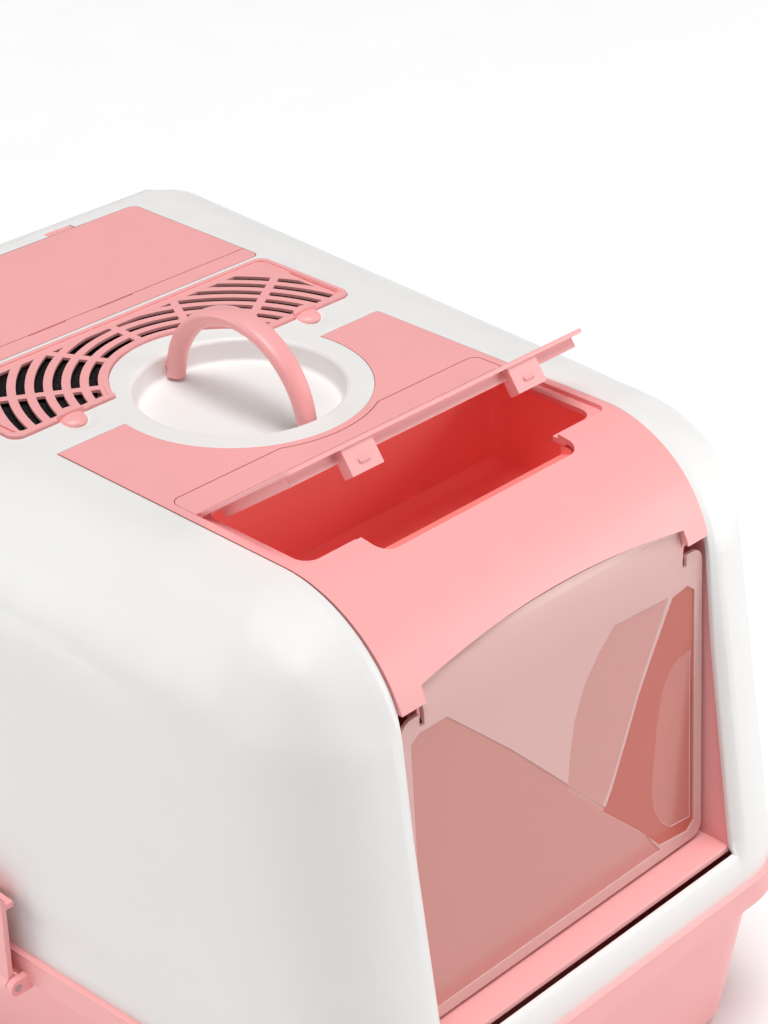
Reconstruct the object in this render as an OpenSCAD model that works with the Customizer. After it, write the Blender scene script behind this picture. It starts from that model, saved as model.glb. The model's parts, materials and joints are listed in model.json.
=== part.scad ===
// Hooded cat litter box: a base tray, a hood that tilts up on rear hinges, a see-through
// swing door, a storage bin with a lid, a folding carry handle, a vent with a carbon
// filter and a rear hatch over a bin that holds the litter scoop.
// X runs across the box, Y runs from the door to the back, Z is up from the floor.

/* [Hood] */
// Height of the hood's flat top above the floor
hood_top = 395; // [380:1:410]
// Height of the seam between the tray and the hood
seam_z = 128; // [120:1:136]
// Wall thickness of the hood shell
wall = 3; // [2.6:0.1:3]
// Radius of the hood's front edge, seen from the side
front_r = 79; // [74:1:84]
// Radius of the long shoulders, seen from the front
shoulder_r = 60; // [55:1:65]
// Lean of the front face from upright
front_lean = 9.5; // [8:0.5:11]
// Lean of the side and back walls from upright
wall_lean = 1.2; // [0.8:0.1:1.6]
// Angle by which each side wall closes in towards the front
taper = 2.5; // [2:0.1:3]

/* [Top panels] */
// Half width of the pink saddle panel
saddle_x = 119.5; // [118:0.5:121]
// Radius of the white disc round the handle
disc_r = 74; // [72:0.5:76]
// Depth of the round handle recess
recess_depth = 14; // [14:0.5:16]
// Angle that the storage lid stands open at rest
lid_rest = 36.5; // [20:0.5:60]

/* [Handle] */
// Outside radius of the bail handle's arch
handle_r = 57; // [55:0.5:57.5]
// Width of the handle's band, seen from above
handle_w = 13; // [11:0.5:13]

/* [Door] */
// Half width of the door below its hinge
door_x = 116.5; // [114:0.5:117]
// Thickness of the door and of its pin block
door_t = 2; // [1.8:0.1:2.4]

/* [Tray] */
// Lean of the tray's walls from upright
tray_lean = 8; // [6:0.5:9]
// Thickness of the tray's walls and floor
tray_t = 2.8; // [2.5:0.1:3]

/* [Hidden] */
$fn = 64;

far = 450;                       // beyond every side of the box
white = [0.95, 0.94, 0.93];
pink = [0.98, 0.70, 0.70];
rose = [0.86, 0.60, 0.58, 0.55];

// Hood, side view: centres of the front and rear top edges
front_y = -160;
front_cz = hood_top - front_r;
rear_r = 25;
rear_y = 244;
rear_cz = hood_top - rear_r;

// Hood, front view: the shoulder's centre on the line y = 0
shoulder_x = 131.8;
shoulder_cz = hood_top - shoulder_r;

// Plan corners of the hood where it meets the tray
front_corner = 60;
rear_corner = 45;
seam_x = shoulder_x + shoulder_r * cos(wall_lean)
    + (shoulder_cz + shoulder_r * sin(wall_lean) - seam_z) * tan(wall_lean);
seam_front = front_at(seam_z, 0);
seam_rear = rear_at(seam_z, 0);

// Saddle panel and storage opening
saddle_back = 11;
leg_z = hood_top - 57;           // lower end of the saddle's two legs
leg_x = 101;                     // inner edge of the legs
arch_r = 670;                    // radius of the arched edge over the door
arch_z = hood_top - 40.5;        // crown of that edge
open_x = 108;                    // half width of the storage opening
open_front = -162;
lid_hinge_y = -90;
lid_x = 112;
lid_front = -165;
lid_t = 2.4;
rim_t = 5.5;                     // depth of the rim round the opening
notch_x = 74;
notch_front = -182;
strip_back = -70;

// Carry handle
pivot_z = hood_top - 7;
arch_cz = hood_top - 13;
band_t = 10;
stud_r = 3;
cup_r = 66;
recess_r = 59.5;

// Door pivot, and how far the door and its tab reach
door_pivot = [-226, hood_top - 62];
pin_r = 2.2;
tab_x = 99.8;
door_bottom = hood_top - 243;
jamb_x = 123.5;

// Grille, filter and rear hatch
vent_c = 18.5;                   // centre of the grille's arcs, along Y
vent_x = 126;
vent_front = 38.5;
vent_back = 115.5;
vent_notch = 60;
slot_pitch = 10;
slot_w = 5;
hatch_x = 129.3;
hatch_fold = 135;
hatch_back = 236.8;

// Rear hinge of the hood and side latches
hinge_y = 283;
hinge_z = 131;
hinge_r = 3;
run = 0.1;                       // running clearance, on the radius
latch_pin_r = 2.5;
latch_x = 206;
latch_z = 112;

function front_at(z, t) = front_y - (front_r - t) * cos(front_lean)
    - (front_cz + (front_r - t) * sin(front_lean) - z) * tan(front_lean);
function rear_at(z, t) = rear_y + (rear_r - t) * cos(wall_lean)
    + (rear_cz + (rear_r - t) * sin(wall_lean) - z) * tan(wall_lean);
function side_at(z, t) = shoulder_x + (shoulder_r - t) * cos(wall_lean)
    + (shoulder_cz + (shoulder_r - t) * sin(wall_lean) - z) * tan(wall_lean);

// A drawing in (y, z), stretched along X by w either side of the middle
module across(w) {
    rotate([90, 0, 90]) linear_extrude(2 * w, center = true) children();
}

// A drawing in (x, z), stretched along Y between y0 and y1
module along(y0, y1) {
    translate([0, y1, 0]) rotate([90, 0, 0]) linear_extrude(y1 - y0) children();
}

module box(low, high) {
    translate(low) cube(high - low);
}

module both_sides() {
    children();
    mirror([1, 0, 0]) children();
}

// A rounded rectangle in plan, made of two bars and four corner discs
module round_rect(x0, x1, y0, y1, r) {
    translate([x0 + r, y0]) square([x1 - x0 - 2 * r, y1 - y0]);
    translate([x0, y0 + r]) square([x1 - x0, y1 - y0 - 2 * r]);
    for (x = [x0 + r, x1 - r], y = [y0 + r, y1 - r])
        translate([x, y]) circle(r);
}

// ---- The hood's outer form, drawn inset by t ----

module side_view(t, low) {
    r = front_r - t;
    q = rear_r - t;
    polygon([
        [front_at(low, t), low],
        [rear_at(low, t), low],
        [rear_y + q * cos(wall_lean), rear_cz + q * sin(wall_lean)],
        [rear_y, hood_top - t],
        [front_y, hood_top - t],
        [front_y - r * cos(front_lean), front_cz + r * sin(front_lean)]
    ]);
    translate([front_y, front_cz]) circle(r, $fn = 128);
    translate([rear_y, rear_cz]) circle(q);
}

module half_front_view(t, low) {
    r = shoulder_r - t;
    polygon([
        [-far, low],
        [side_at(low, t), low],
        [shoulder_x + r * cos(wall_lean), shoulder_cz + r * sin(wall_lean)],
        [shoulder_x, hood_top - t],
        [-far, hood_top - t]
    ]);
    translate([shoulder_x, shoulder_cz]) circle(r, $fn = 128);
}

// Both tapering sides at once, from one half drawing in (x, z)
module tapered() {
    intersection() {
        rotate([0, 0, -taper]) along(-far, far) children();
        mirror([1, 0, 0]) rotate([0, 0, -taper]) along(-far, far) children();
    }
}

// Plan of the seam, grown outwards by g
module plan(g) {
    fy = seam_front + front_corner;
    ry = seam_rear - rear_corner;
    fx = (seam_x - front_corner + fy * sin(taper)) / cos(taper);
    rx = (seam_x - rear_corner + ry * sin(taper)) / cos(taper);
    fr = front_corner + g;
    rr = rear_corner + g;
    right = [
        [fx, fy - fr],
        [fx + fr * cos(taper), fy - fr * sin(taper)],
        [rx + rr * cos(taper), ry - rr * sin(taper)],
        [rx, ry + rr]
    ];
    left = [for (i = [3:-1:0]) [-right[i][0], right[i][1]]];
    polygon(concat(right, left));
    for (s = [-1, 1]) {
        translate([s * fx, fy]) circle(fr, $fn = 96);
        translate([s * rx, ry]) circle(rr, $fn = 96);
    }
}

// Rounds the two front corners, along the lean of the front face
module front_corners(t) {
    fy = seam_front + front_corner;
    fx = (seam_x - front_corner + fy * sin(taper)) / cos(taper);
    r = front_corner - t;
    translate([0, seam_front, seam_z]) rotate([-front_lean, 0, 0])
        translate([0, front_corner, -60]) linear_extrude(420) {
            for (s = [-1, 1]) translate([s * fx, 0]) circle(r, $fn = 96);
            translate([-fx, -far]) square([2 * fx, far]);
            translate([-far, -r * sin(taper)]) square([2 * far, 2 * far]);
        }
}

// Rounds the two rear corners
module rear_corners(t) {
    ry = seam_rear - rear_corner;
    rx = (seam_x - rear_corner + ry * sin(taper)) / cos(taper);
    r = rear_corner - t;
    translate([0, 0, seam_z - 10]) linear_extrude(far) {
        for (s = [-1, 1]) translate([s * rx, ry]) circle(r, $fn = 96);
        translate([-rx, 0]) square([2 * rx, far]);
        translate([-far, -far]) square([2 * far, far + ry - r * sin(taper)]);
    }
}

module hood_form(t, low) {
    intersection() {
        across(far) side_view(t, low);
        tapered() half_front_view(t, low);
        front_corners(t);
        rear_corners(t);
    }
}

// Everything under the hood's skin, from depth t inwards, across the middle
module under_skin(t) {
    across(far) side_view(t, seam_z);
}

// ---- Tray ----

tray_top = seam_z + 10;          // top of the lip inside the hood
lip_gap = 2.4;                   // the hood's front wall leans back over the lip
lip = wall + lip_gap;            // the lip's outside, in from the seam

// A tub between two heights, with a soft edge round its floor
module tray_form(t, low, high) {
    drop = (high - low) * tan(tray_lean);
    hull() {
        translate([0, 0, high - 0.5]) linear_extrude(0.5) plan(-lip - t);
        for (step = [[9, 0], [3.5, 4], [0, 9]])
            translate([0, 0, low + step[1]]) linear_extrude(0.5)
                plan(-lip - t - drop - step[0] + step[1] * tan(tray_lean));
    }
}

module tray_ear(x0, x1) {
    difference() {
        union() {
            translate([x0, hinge_y, hinge_z]) rotate([0, 90, 0]) cylinder(x1 - x0, r = 6);
            box([x0, seam_rear - 2, seam_z - 12], [x1, hinge_y, seam_z]);
        }
        translate([x0 - 1, hinge_y, hinge_z]) rotate([0, 90, 0])
            cylinder(x1 - x0 + 2, r = hinge_r);
    }
}

module latch_lug(y0, y1) {
    difference() {
        union() {
            translate([latch_x, y1, latch_z]) rotate([90, 0, 0]) cylinder(y1 - y0, r = 5);
            box([seam_x, y0, latch_z - 5], [latch_x, y1, latch_z + 5]);
        }
        translate([latch_x, y1 + 1, latch_z]) rotate([90, 0, 0])
            cylinder(y1 - y0 + 2, r = latch_pin_r);
        tray_skirt_space();
    }
}

// The room inside the skirt, which lugs and ears do not fill
module tray_skirt_space() {
    translate([0, 0, seam_z - 20]) linear_extrude(16) plan(1);
}

module base_tray() {
    color(pink) {
        difference() {
            union() {
                tray_form(0, 0, tray_top);
                translate([0, 0, seam_z - 4]) linear_extrude(4) plan(3.5);
            }
            tray_form(tray_t, tray_t, tray_top + 0.5);
        }
        // Skirt that hangs from the flange's outer edge
        difference() {
            translate([0, 0, seam_z - 16]) linear_extrude(13) plan(3.5);
            translate([0, 0, seam_z - 17]) linear_extrude(15) plan(1);
        }
        both_sides() {
            tray_ear(96, 100);
            tray_ear(124, 128);
            latch_lug(22.5, 27);
            latch_lug(-27, -22.5);
        }
    }
}

module tray_hinge_pins() {
    color("silver") both_sides()
        translate([96, hinge_y, hinge_z]) rotate([0, 90, 0]) cylinder(32, r = hinge_r);
}

module latch_pins() {
    color("silver") both_sides()
        translate([latch_x, 27, latch_z]) rotate([90, 0, 0]) cylinder(54, r = latch_pin_r);
}

// ---- Side latches ----

module right_latch_form() {
    difference() {
        union() {
            translate([latch_x, 22, latch_z]) rotate([90, 0, 0]) cylinder(44, r = 5);
            box([latch_x - 1, -22, latch_z], [latch_x + 2.5, 22, seam_z + 40]);
            // Lip that closes over the hood's seam
            box([latch_x - 6, -22, seam_z + 34], [latch_x, 22, seam_z + 38]);
            // Finger lift, turned outwards
            along(-22, 22) polygon([
                [latch_x - 1, seam_z + 40],
                [latch_x + 6, seam_z + 50],
                [latch_x + 8, seam_z + 49],
                [latch_x + 2.5, seam_z + 39]
            ]);
        }
        translate([latch_x, 23, latch_z]) rotate([90, 0, 0])
            cylinder(46, r = latch_pin_r + run);
    }
}

module right_latch() {
    color(pink) right_latch_form();
}

module left_latch() {
    color(pink) mirror([1, 0, 0]) right_latch_form();
}

// ---- Hood shell ----

module saddle_plan(gap) {
    difference() {
        translate([-saddle_x, -far]) square([2 * saddle_x, far + saddle_back]);
        circle(disc_r + gap, $fn = 128);
    }
}

module vent_plan(in) {
    difference() {
        round_rect(-vent_x + in, vent_x - in, vent_front + in, vent_back - in, 7 - in / 2);
        translate([0, vent_c]) circle(vent_notch + in, $fn = 128);
    }
}

module recess() {
    translate([0, 0, hood_top - recess_depth]) cylinder(3.5, r1 = 57.5, r2 = 59, $fn = 96);
    translate([0, 0, hood_top - recess_depth + 3.5])
        cylinder(recess_depth, r = recess_r - 0.5, $fn = 96);
}

module stud_bores(clear) {
    translate([0, 70, pivot_z]) rotate([90, 0, 0]) cylinder(140, r = stud_r + clear);
}

module hinge_knuckle() {
    difference() {
        union() {
            translate([100.6, hinge_y, hinge_z]) rotate([0, 90, 0]) cylinder(22.8, r = 6);
            box([100.6, seam_rear - 1.5, hinge_z], [123.4, hinge_y, hinge_z + 6]);
        }
        translate([99, hinge_y, hinge_z]) rotate([0, 90, 0]) cylinder(26, r = hinge_r + run);
    }
}

module hood_shell() {
    color(white) {
        difference() {
            union() {
                difference() {
                    hood_form(0, seam_z);
                    hood_form(wall, seam_z - 1);
                }
                translate([0, 0, hood_top - recess_depth - wall])
                    cylinder(recess_depth + wall, r = cup_r, $fn = 96);
            }
            translate([0, 0, leg_z]) linear_extrude(far) saddle_plan(0);
            box([-jamb_x, -far, seam_z + 18], [jamb_x, -200, leg_z]);
            translate([0, 0, hood_top - 1.8]) linear_extrude(3) vent_plan(-0.3);
            translate([0, 0, hood_top - 9]) linear_extrude(10) vent_plan(4);
            translate([0, 0, hood_top - 9]) linear_extrude(10)
                round_rect(-129.5, 129.5, 121, 237, 5);
            both_sides() box([60.5, 236, hood_top - 9], [81.5, 243.5, hood_top + 1]);
            recess();
            stud_bores(run);
        }
        both_sides() hinge_knuckle();
    }
}

// ---- Front: saddle panel, door frame and door ----

module arch_mask(drop) {
    intersection() {
        translate([0, arch_z - drop - arch_r]) circle(arch_r, $fn = 256);
        translate([-leg_x, arch_z - 60]) square([2 * leg_x, 80]);
    }
}

// Plan of the pocket that the lid and its base lie in
module lid_pocket() {
    difference() {
        round_rect(-114.4, 114.4, lid_front - 0.6, strip_back + 0.4, 6.4);
        circle(disc_r + 4.6, $fn = 128);
    }
}

module storage_opening() {
    round_rect(-open_x, open_x, open_front, lid_hinge_y + 1.5, 9);
    round_rect(-notch_x, notch_x, notch_front, open_front + 20, 9);
}

module door_ear() {
    difference() {
        union() {
            translate([leg_x - 0.4, door_pivot[0], door_pivot[1]]) rotate([0, 90, 0])
                cylinder(2.2, r = 4.2);
            box([leg_x - 0.4, door_pivot[0] - 4, door_pivot[1]],
                [leg_x + 1.8, door_pivot[0] + 4.2, leg_z + 12]);
            box([leg_x - 0.4, door_pivot[0] - 9, leg_z + 2],
                [leg_x + 1.8, door_pivot[0], leg_z + 12]);
        }
        translate([leg_x - 2, door_pivot[0], door_pivot[1]]) rotate([0, 90, 0])
            cylinder(6, r = pin_r + run);
    }
}

module front_panel() {
    color(pink) {
        difference() {
            union() {
                intersection() {
                    difference() {
                        across(saddle_x) side_view(0, seam_z);
                        under_skin(wall);
                    }
                    translate([0, 0, leg_z]) linear_extrude(far) saddle_plan(0.2);
                }
                // Rim round the storage opening
                difference() {
                    intersection() {
                        box([-117, -171, hood_top - rim_t], [117, -66, hood_top - 1]);
                        under_skin(1);
                    }
                    translate([0, 0, hood_top - 10]) cylinder(12, r = disc_r + 0.2, $fn = 128);
                }
            }
            translate([0, 0, hood_top - 20]) linear_extrude(30) storage_opening();
            translate([0, 0, hood_top - 2.6]) linear_extrude(5) lid_pocket();
            along(-far, -200) arch_mask(0);
        }
        both_sides() intersection() {
            door_ear();
            under_skin(wall - 0.5);
        }
    }
}

module door_frame() {
    color(pink) {
        difference() {
            intersection() {
                across(jamb_x) polygon([
                    [front_at(seam_z + 18, 4), seam_z + 18],
                    [-198, seam_z + 18],
                    [-198, leg_z - 0.3],
                    [front_at(leg_z, 4), leg_z - 0.3]
                ]);
                under_skin(2);
            }
            box([-119.5, -far, seam_z + 21.5], [119.5, 0, far]);
        }
        // Flange behind the shell's front wall
        difference() {
            box([-jamb_x - 12, -201, seam_z + 8], [jamb_x + 12, -198, leg_z - 0.3]);
            box([-119.5, -far, seam_z + 21.5], [119.5, 0, far]);
        }
    }
}

module door_band() {
    bend = [-232, hood_top - 60];
    foot = [-242.5, door_bottom];
    polygon([
        foot,
        bend,
        [-229.8, hood_top - 50],
        [-226.4, hood_top - 41],
        [-226.4 + door_t, hood_top - 41],
        [-229.8 + door_t, hood_top - 50],
        bend + [door_t, 0],
        foot + [door_t, 0]
    ]);
}

module door_outline() {
    round_rect(-door_x, door_x, door_bottom, hood_top - 60, 8);
    intersection() {
        arch_mask(1.5);
        translate([-tab_x, hood_top - 75]) square([2 * tab_x, 60]);
    }
    translate([-tab_x, hood_top - 80]) square([2 * tab_x, 30]);
}

module door_flap() {
    color(rose) {
        difference() {
            intersection() {
                across(door_x) door_band();
                along(-far, 0) door_outline();
            }
            // Notches that clear the hinge ears
            both_sides() box([tab_x, -far, hood_top - 67], [103.2, 0, hood_top]);
        }
        both_sides() {
            box([94, door_pivot[0] - 4.8, door_pivot[1] - 3],
                [tab_x, door_pivot[0] + 3, door_pivot[1] + 3]);
            translate([tab_x - 1, door_pivot[0], door_pivot[1]]) rotate([0, 90, 0])
                cylinder(3.8, r = pin_r);
        }
    }
}

// ---- Storage bin and lid ----

module storage_bin() {
    color(pink) difference() {
        intersection() {
            box([-116, -187, hood_top - 58], [116, -84, hood_top]);
            under_skin(rim_t + 0.1);
        }
        translate([0, 0, hood_top - 56]) linear_extrude(60)
            round_rect(-113, 113, -168, -87, 10);
        // Sloping floor of the finger notch
        intersection() {
            across(notch_x) polygon([
                [-187, hood_top - rim_t],
                [-160, hood_top - 14],
                [-160, hood_top + 5],
                [-187, hood_top + 5]
            ]);
            box([-notch_x, -183, hood_top - 20], [notch_x, -150, hood_top + 5]);
        }
    }
}

module storage_lid_base() {
    color(pink) translate([0, 0, hood_top - lid_t]) linear_extrude(lid_t) difference() {
        round_rect(-114, 114, lid_hinge_y - 12, strip_back, 6);
        circle(disc_r + 5, $fn = 128);
        translate([-far, lid_hinge_y - 100]) square([2 * far, 100.5]);
    }
}

module lid_hook(x) {
    box([x - 11, lid_front + 1.5, hood_top - 17], [x + 11, lid_front + 4, hood_top - 1]);
    box([x - 11, lid_front + 1.5, hood_top - 17], [x - 9, lid_front + 9, hood_top - 1]);
    box([x + 9, lid_front + 1.5, hood_top - 17], [x + 11, lid_front + 9, hood_top - 1]);
    // Barb on the hook's front
    translate([x - 3.5, 0, 0]) rotate([90, 0, 90]) linear_extrude(7) polygon([
        [lid_front + 2, hood_top - 8],
        [lid_front, hood_top - 12],
        [lid_front + 2, hood_top - 13]
    ]);
}

module closed_lid() {
    // Plate
    translate([0, 0, hood_top - lid_t]) linear_extrude(lid_t) difference() {
        round_rect(-lid_x, lid_x, lid_front, lid_hinge_y + 12, 6);
        translate([-far, lid_hinge_y - 0.4]) square([2 * far, 100]);
    }
    // Flange under the front and side edges
    difference() {
        box([-105.5, lid_front + 6, hood_top - 8], [105.5, lid_hinge_y - 10, hood_top - 1]);
        box([-103.5, lid_front + 8, hood_top - 9], [103.5, lid_hinge_y, hood_top - 2]);
    }
    lid_hook(61);
    lid_hook(-61);
}

module storage_lid() {
    color(pink) translate([0, lid_hinge_y, hood_top]) rotate([-lid_rest, 0, 0])
        translate([0, -lid_hinge_y, -hood_top]) closed_lid();
}

// ---- Carry handle ----

module handle_section() {
    r = 4.5;
    h = handle_w / 2;
    for (x = [handle_r - band_t + r, handle_r - r], y = [-h + r, h - r])
        translate([x, y]) circle(r, $fn = 48);
    translate([handle_r - band_t, -h + r]) square([band_t, handle_w - 2 * r]);
    translate([handle_r - band_t + r, -h]) square([band_t - 2 * r, handle_w]);
}

module carry_handle() {
    color(pink) {
        intersection() {
            translate([0, 0, arch_cz]) rotate([0, -90, 0]) rotate([0, 0, -90])
                rotate_extrude(angle = 180, $fn = 128) handle_section();
            box([-20, -70, pivot_z], [20, 70, far]);
        }
        for (s = [-1, 1]) {
            translate([0, s * (handle_r - band_t / 2), pivot_z]) rotate([90, 0, 0])
                cylinder(band_t - 0.6, r = handle_w / 2, center = true, $fn = 48);
            translate([0, s * (handle_r + 2.5), pivot_z]) rotate([90, 0, 0])
                cylinder(7.4, r = stud_r, center = true);
        }
    }
}

// ---- Vent ----

module slots() {
    intersection() {
        round_rect(-118, 118, 44, 107, 3);
        difference() {
            union() for (i = [0:6]) difference() {
                translate([0, vent_c]) circle(68 + i * slot_pitch + slot_w / 2, $fn = 128);
                translate([0, vent_c]) circle(68 + i * slot_pitch - slot_w / 2, $fn = 128);
            }
            translate([0, vent_c]) for (a = [-58, -28, 0, 28, 58])
                rotate([0, 0, -a]) translate([-2.5, 0]) square([5, 200]);
        }
    }
}

module filter_grille() {
    color(pink) {
        translate([0, 0, hood_top - 1.6]) linear_extrude(2.2) difference() {
            vent_plan(0);
            slots();
        }
        // Raised border
        translate([0, 0, hood_top]) linear_extrude(1.4) difference() {
            vent_plan(0);
            vent_plan(3);
        }
        both_sides() translate([88, 34, hood_top + 0.2]) cylinder(3.2, r = 10);
    }
}

module carbon_filter() {
    color([0.1, 0.09, 0.09]) translate([0, 0, hood_top - 12.5]) linear_extrude(9)
        vent_plan(6.5);
}

module filter_tray() {
    color(pink) difference() {
        translate([0, 0, hood_top - 15]) linear_extrude(12) vent_plan(2);
        translate([0, 0, hood_top - 12.8]) linear_extrude(20) vent_plan(5.5);
        for (x = [-100 : 22 : 100])
            if (abs(x) > 70) box([x - 8, 52, hood_top - 20], [x + 8, 102, hood_top - 5]);
        for (x = [-66 : 22 : 66])
            box([x - 8, 88, hood_top - 20], [x + 8, 102, hood_top - 5]);
    }
}

// ---- Rear hatch and scoop bin ----

module hatch_plan() {
    round_rect(-hatch_x, hatch_x, 121.2, hatch_back, 5);
}

module fold_slots() {
    both_sides() translate([12, hatch_fold - 1.2]) square([27, 0.9]);
}

module scoop_hatch_base() {
    color(pink) translate([0, 0, hood_top - 2.6]) linear_extrude(2.6) difference() {
        hatch_plan();
        translate([-far, hatch_fold - 0.4]) square([2 * far, 200]);
        fold_slots();
    }
}

module scoop_hatch() {
    color(pink) {
        translate([0, 0, hood_top - 2.6]) linear_extrude(2.6) difference() {
            hatch_plan();
            translate([-far, hatch_fold + 0.4 - 200]) square([2 * far, 200]);
        }
        both_sides() box([61, hatch_back - 1, hood_top - 2.6], [81, 243, hood_top - 0.6]);
    }
}

module scoop_bin() {
    color(pink) {
        difference() {
            translate([0, 0, hood_top - 5.6]) linear_extrude(2.6)
                round_rect(-133, 133, 117, 241, 6);
            translate([0, 0, hood_top - 10]) linear_extrude(12)
                round_rect(-124, 124, 139, 232, 8);
        }
        difference() {
            translate([0, 0, hood_top - 50]) linear_extrude(45)
                round_rect(-126.4, 126.4, 136.6, 234.4, 10);
            translate([0, 0, hood_top - 47.6]) linear_extrude(60)
                round_rect(-124, 124, 139, 232, 8);
        }
    }
}

module litter_scoop() {
    floor_z = hood_top - 47;
    color(pink) {
        difference() {
            translate([0, 0, floor_z]) linear_extrude(26) round_rect(-116, -20, 145, 227, 14);
            translate([0, 0, floor_z + 2.4]) linear_extrude(40)
                round_rect(-130, -22.4, 147.4, 224.6, 11);
            for (i = [0:7]) translate([-108, 152 + i * 9.3, floor_z - 1]) cube([76, 4.6, 5]);
            // Cutting lip, lower than the side walls
            rotate([90, 0, 0]) translate([0, 0, -far]) linear_extrude(far) polygon([
                [-120, floor_z + 3],
                [-112, floor_z + 3],
                [-70, floor_z + 30],
                [-120, floor_z + 30]
            ]);
        }
        // Handle
        translate([0, 0, floor_z + 10]) linear_extrude(9) difference() {
            round_rect(-24, 116, 172, 200, 12);
            round_rect(84, 108, 180, 192, 5);
        }
    }
}

base_tray();
tray_hinge_pins();
latch_pins();
left_latch();
right_latch();
hood_shell();
front_panel();
door_frame();
door_flap();
storage_bin();
storage_lid_base();
storage_lid();
carry_handle();
filter_grille();
carbon_filter();
filter_tray();
scoop_hatch_base();
scoop_hatch();
scoop_bin();
litter_scoop();
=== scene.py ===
import json
import math

import bpy
from bpy.props import FloatProperty, FloatVectorProperty, PointerProperty
from mathutils import Matrix, Vector

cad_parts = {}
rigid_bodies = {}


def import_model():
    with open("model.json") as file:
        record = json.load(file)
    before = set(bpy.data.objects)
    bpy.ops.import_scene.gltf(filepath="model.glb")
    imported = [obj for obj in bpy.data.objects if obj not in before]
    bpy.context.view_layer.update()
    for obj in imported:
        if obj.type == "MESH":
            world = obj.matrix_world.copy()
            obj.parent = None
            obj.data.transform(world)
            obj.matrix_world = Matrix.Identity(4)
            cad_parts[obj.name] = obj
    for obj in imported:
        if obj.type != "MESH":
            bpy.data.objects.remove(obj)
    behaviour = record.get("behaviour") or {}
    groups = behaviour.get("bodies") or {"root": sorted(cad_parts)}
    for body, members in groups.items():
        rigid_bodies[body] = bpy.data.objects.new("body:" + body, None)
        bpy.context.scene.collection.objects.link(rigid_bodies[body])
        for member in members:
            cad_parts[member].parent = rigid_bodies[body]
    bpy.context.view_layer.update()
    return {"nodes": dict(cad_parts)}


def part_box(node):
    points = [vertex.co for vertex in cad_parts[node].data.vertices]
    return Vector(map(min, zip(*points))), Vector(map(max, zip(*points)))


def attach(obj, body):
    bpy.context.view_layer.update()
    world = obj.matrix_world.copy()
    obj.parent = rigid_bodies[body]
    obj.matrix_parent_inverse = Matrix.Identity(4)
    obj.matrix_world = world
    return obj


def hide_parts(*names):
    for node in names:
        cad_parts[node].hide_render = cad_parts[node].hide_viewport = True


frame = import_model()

bl_info = {
    "name": "Hooded litter box",
    "version": (1, 0, 0),
    "blender": (4, 5, 0),
    "location": "3D View > Sidebar > Litter box",
    "description": "Moulded plastic litter box with a hood, door, storage lid and vent",
    "category": "Add Mesh",
}

MM = 0.001
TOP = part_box("storage_lid_base")[1][2] / MM     # the hood's flat top, in mm
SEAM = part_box("hood_shell")[0][2] / MM          # where the hood sits on the tray
# Painted highlight: a pale colour painted onto the door's rounded edges, and the mark that picks
# those edges out
PAINTED_EDGE_GLINT = (1, 0.86, 0.84)                    # light caught by the door's rounded edges
PAINTED_GLINT_MARK = -0.9                                # mark that those edges carry
DOORWAY = 118.4                                 # half the width of the hood's doorway
FRONT_CURVE_START = -160                        # Y where the top starts to curve down
FACE_START = -226.9                             # Y of the leaning front face, at the top
FACE_LEAN = math.radians(9.5)
HANDLE_PIVOT = TOP - 7                          # height of the handle's pins
LUG_X = 88                                      # finger tabs of the vent grille
HATCH_TAB_X = 71                                # finger tabs of the rear hatch
KNUCKLE = (112, 283, 131)                       # rear hinge: X, Y and height


# ---- Sizes and colours that a user would change ----

def length(name, text, value):
    return FloatProperty(name=name, description=text, default=value * MM, unit="LENGTH")


def colour(name, text, value):
    return FloatVectorProperty(name=name, description=text, default=value, size=3,
                               min=0, max=1, subtype="COLOR")


class LitterBoxSizes(bpy.types.PropertyGroup):
    wall: length("Wall", "Thickness of the hood shell", 3)
    front_radius: length("Front radius", "Radius of the hood's front edge", 79)
    shoulder_radius: length("Shoulder radius", "Radius of the long shoulders", 56)
    rear_radius: length("Rear radius", "Radius of the hood's rear top edge", 25)
    front_corner: length("Front corner", "Radius of the two front corners", 60)
    rear_corner: length("Rear corner", "Radius of the two rear corners", 45)
    edge: length("Edge", "Softening of the moulded edges", 0.7)
    ring: length("Handle ring", "Radius of the white ring round the handle", 74)
    recess: length("Recess", "Radius of the round handle recess", 59)
    recess_depth: length("Recess depth", "Depth of the handle recess", 14)
    handle_radius: length("Handle radius", "Outside radius of the handle's arch", 57)
    handle_width: length("Handle width", "Width of the handle's band", 13)
    bulge: length("Side bulge", "Height of the raised field on each side wall", 3.2)


class LitterBoxColours(bpy.types.PropertyGroup):
    pink: colour("Pink", "Pink moulded plastic", (0.95, 0.44, 0.435))
    white: colour("White", "White moulded plastic", (0.86, 0.85, 0.835))
    rose: colour("Rose", "Smoky rose of the see-through door", (0.84, 0.52, 0.49))
    carbon: colour("Carbon", "Carbon filter pad", (0.012, 0.011, 0.012))
    steel: colour("Steel", "Hinge and latch pins", (0.55, 0.55, 0.57))
    # The storage bin also gets a painted glow, an emission that brightens it
    deep: colour("Deep pink", "Storage bin, which glows a deeper pink", (0.95, 0.30, 0.27))
    floor: colour("Floor", "Studio floor", (0.97, 0.97, 0.97))


# ---- Modelling helpers, all lengths in millimetres ----

def deselect():
    bpy.ops.object.select_all(action="DESELECT")


def pick(*objs):
    deselect()
    for obj in objs:
        obj.select_set(True)
    bpy.context.view_layer.objects.active = objs[0]


def modify(obj, kind, **settings):
    """Adds one modifier and applies it."""
    pick(obj)
    mod = obj.modifiers.new(kind.title(), kind)
    for key, value in settings.items():
        setattr(mod, key, value)
    bpy.ops.object.modifier_apply(modifier=mod.name)


def bake_place(obj):
    pick(obj)
    bpy.ops.object.transform_apply(location=True, rotation=True, scale=True)


def block(name, low, high):
    """A box between two corners."""
    deselect()
    low, high = Vector(low) * MM, Vector(high) * MM
    bpy.ops.mesh.primitive_cube_add(size=1, location=(low + high) / 2)
    obj = bpy.context.object
    obj.name, obj.scale = name, high - low
    bake_place(obj)
    return obj


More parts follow.
